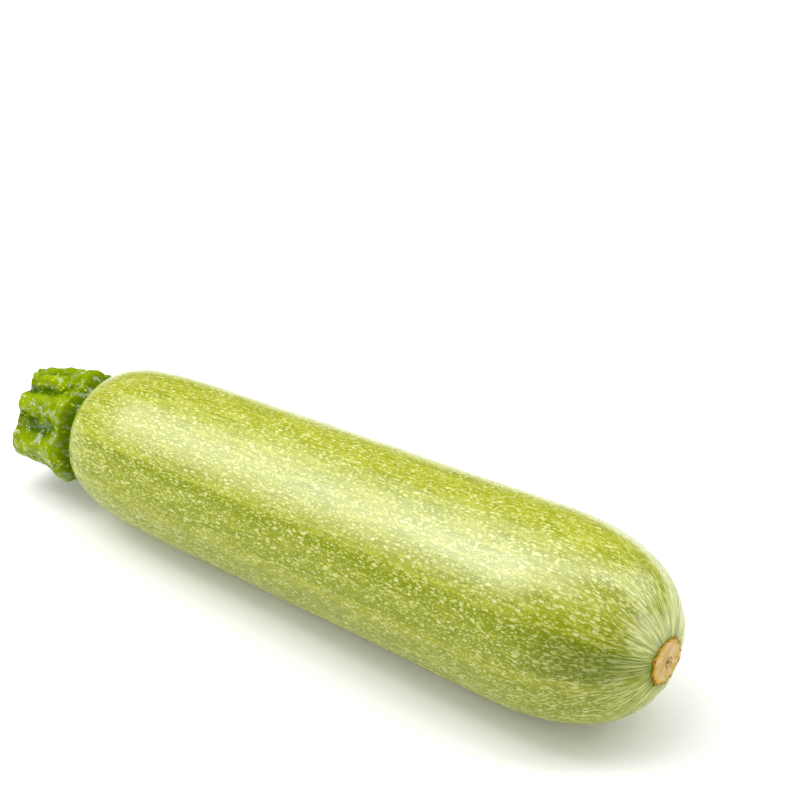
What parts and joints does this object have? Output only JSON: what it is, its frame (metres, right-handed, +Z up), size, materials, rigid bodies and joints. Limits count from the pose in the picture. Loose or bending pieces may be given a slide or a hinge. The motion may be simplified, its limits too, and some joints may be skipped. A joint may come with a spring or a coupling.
{
  "type": "courgette",
  "caption": "Pale green courgette lying on its belly, with a ridged green stem stump at one end and a small toothed blossom scar at the other.",
  "frame": {"origin": "bottom centre of the whole courgette, on the surface that it lies on", "axes": "+X along the courgette from the cut stem to the blossom end, +Z up, out of the surface that it lies on"},
  "size_m": [0.2066, 0.0518, 0.0514],
  "materials": {
    "skin": "waxy, with fine pale speckles along its length",
    "stem": "glossy, knobbly",
    "scar": "dry and corky"
  },
  "bodies": {
    "root": {"fruit": "skin", "stem": "stem", "blossom_scar": "scar"}
  },
  "joints": []
}
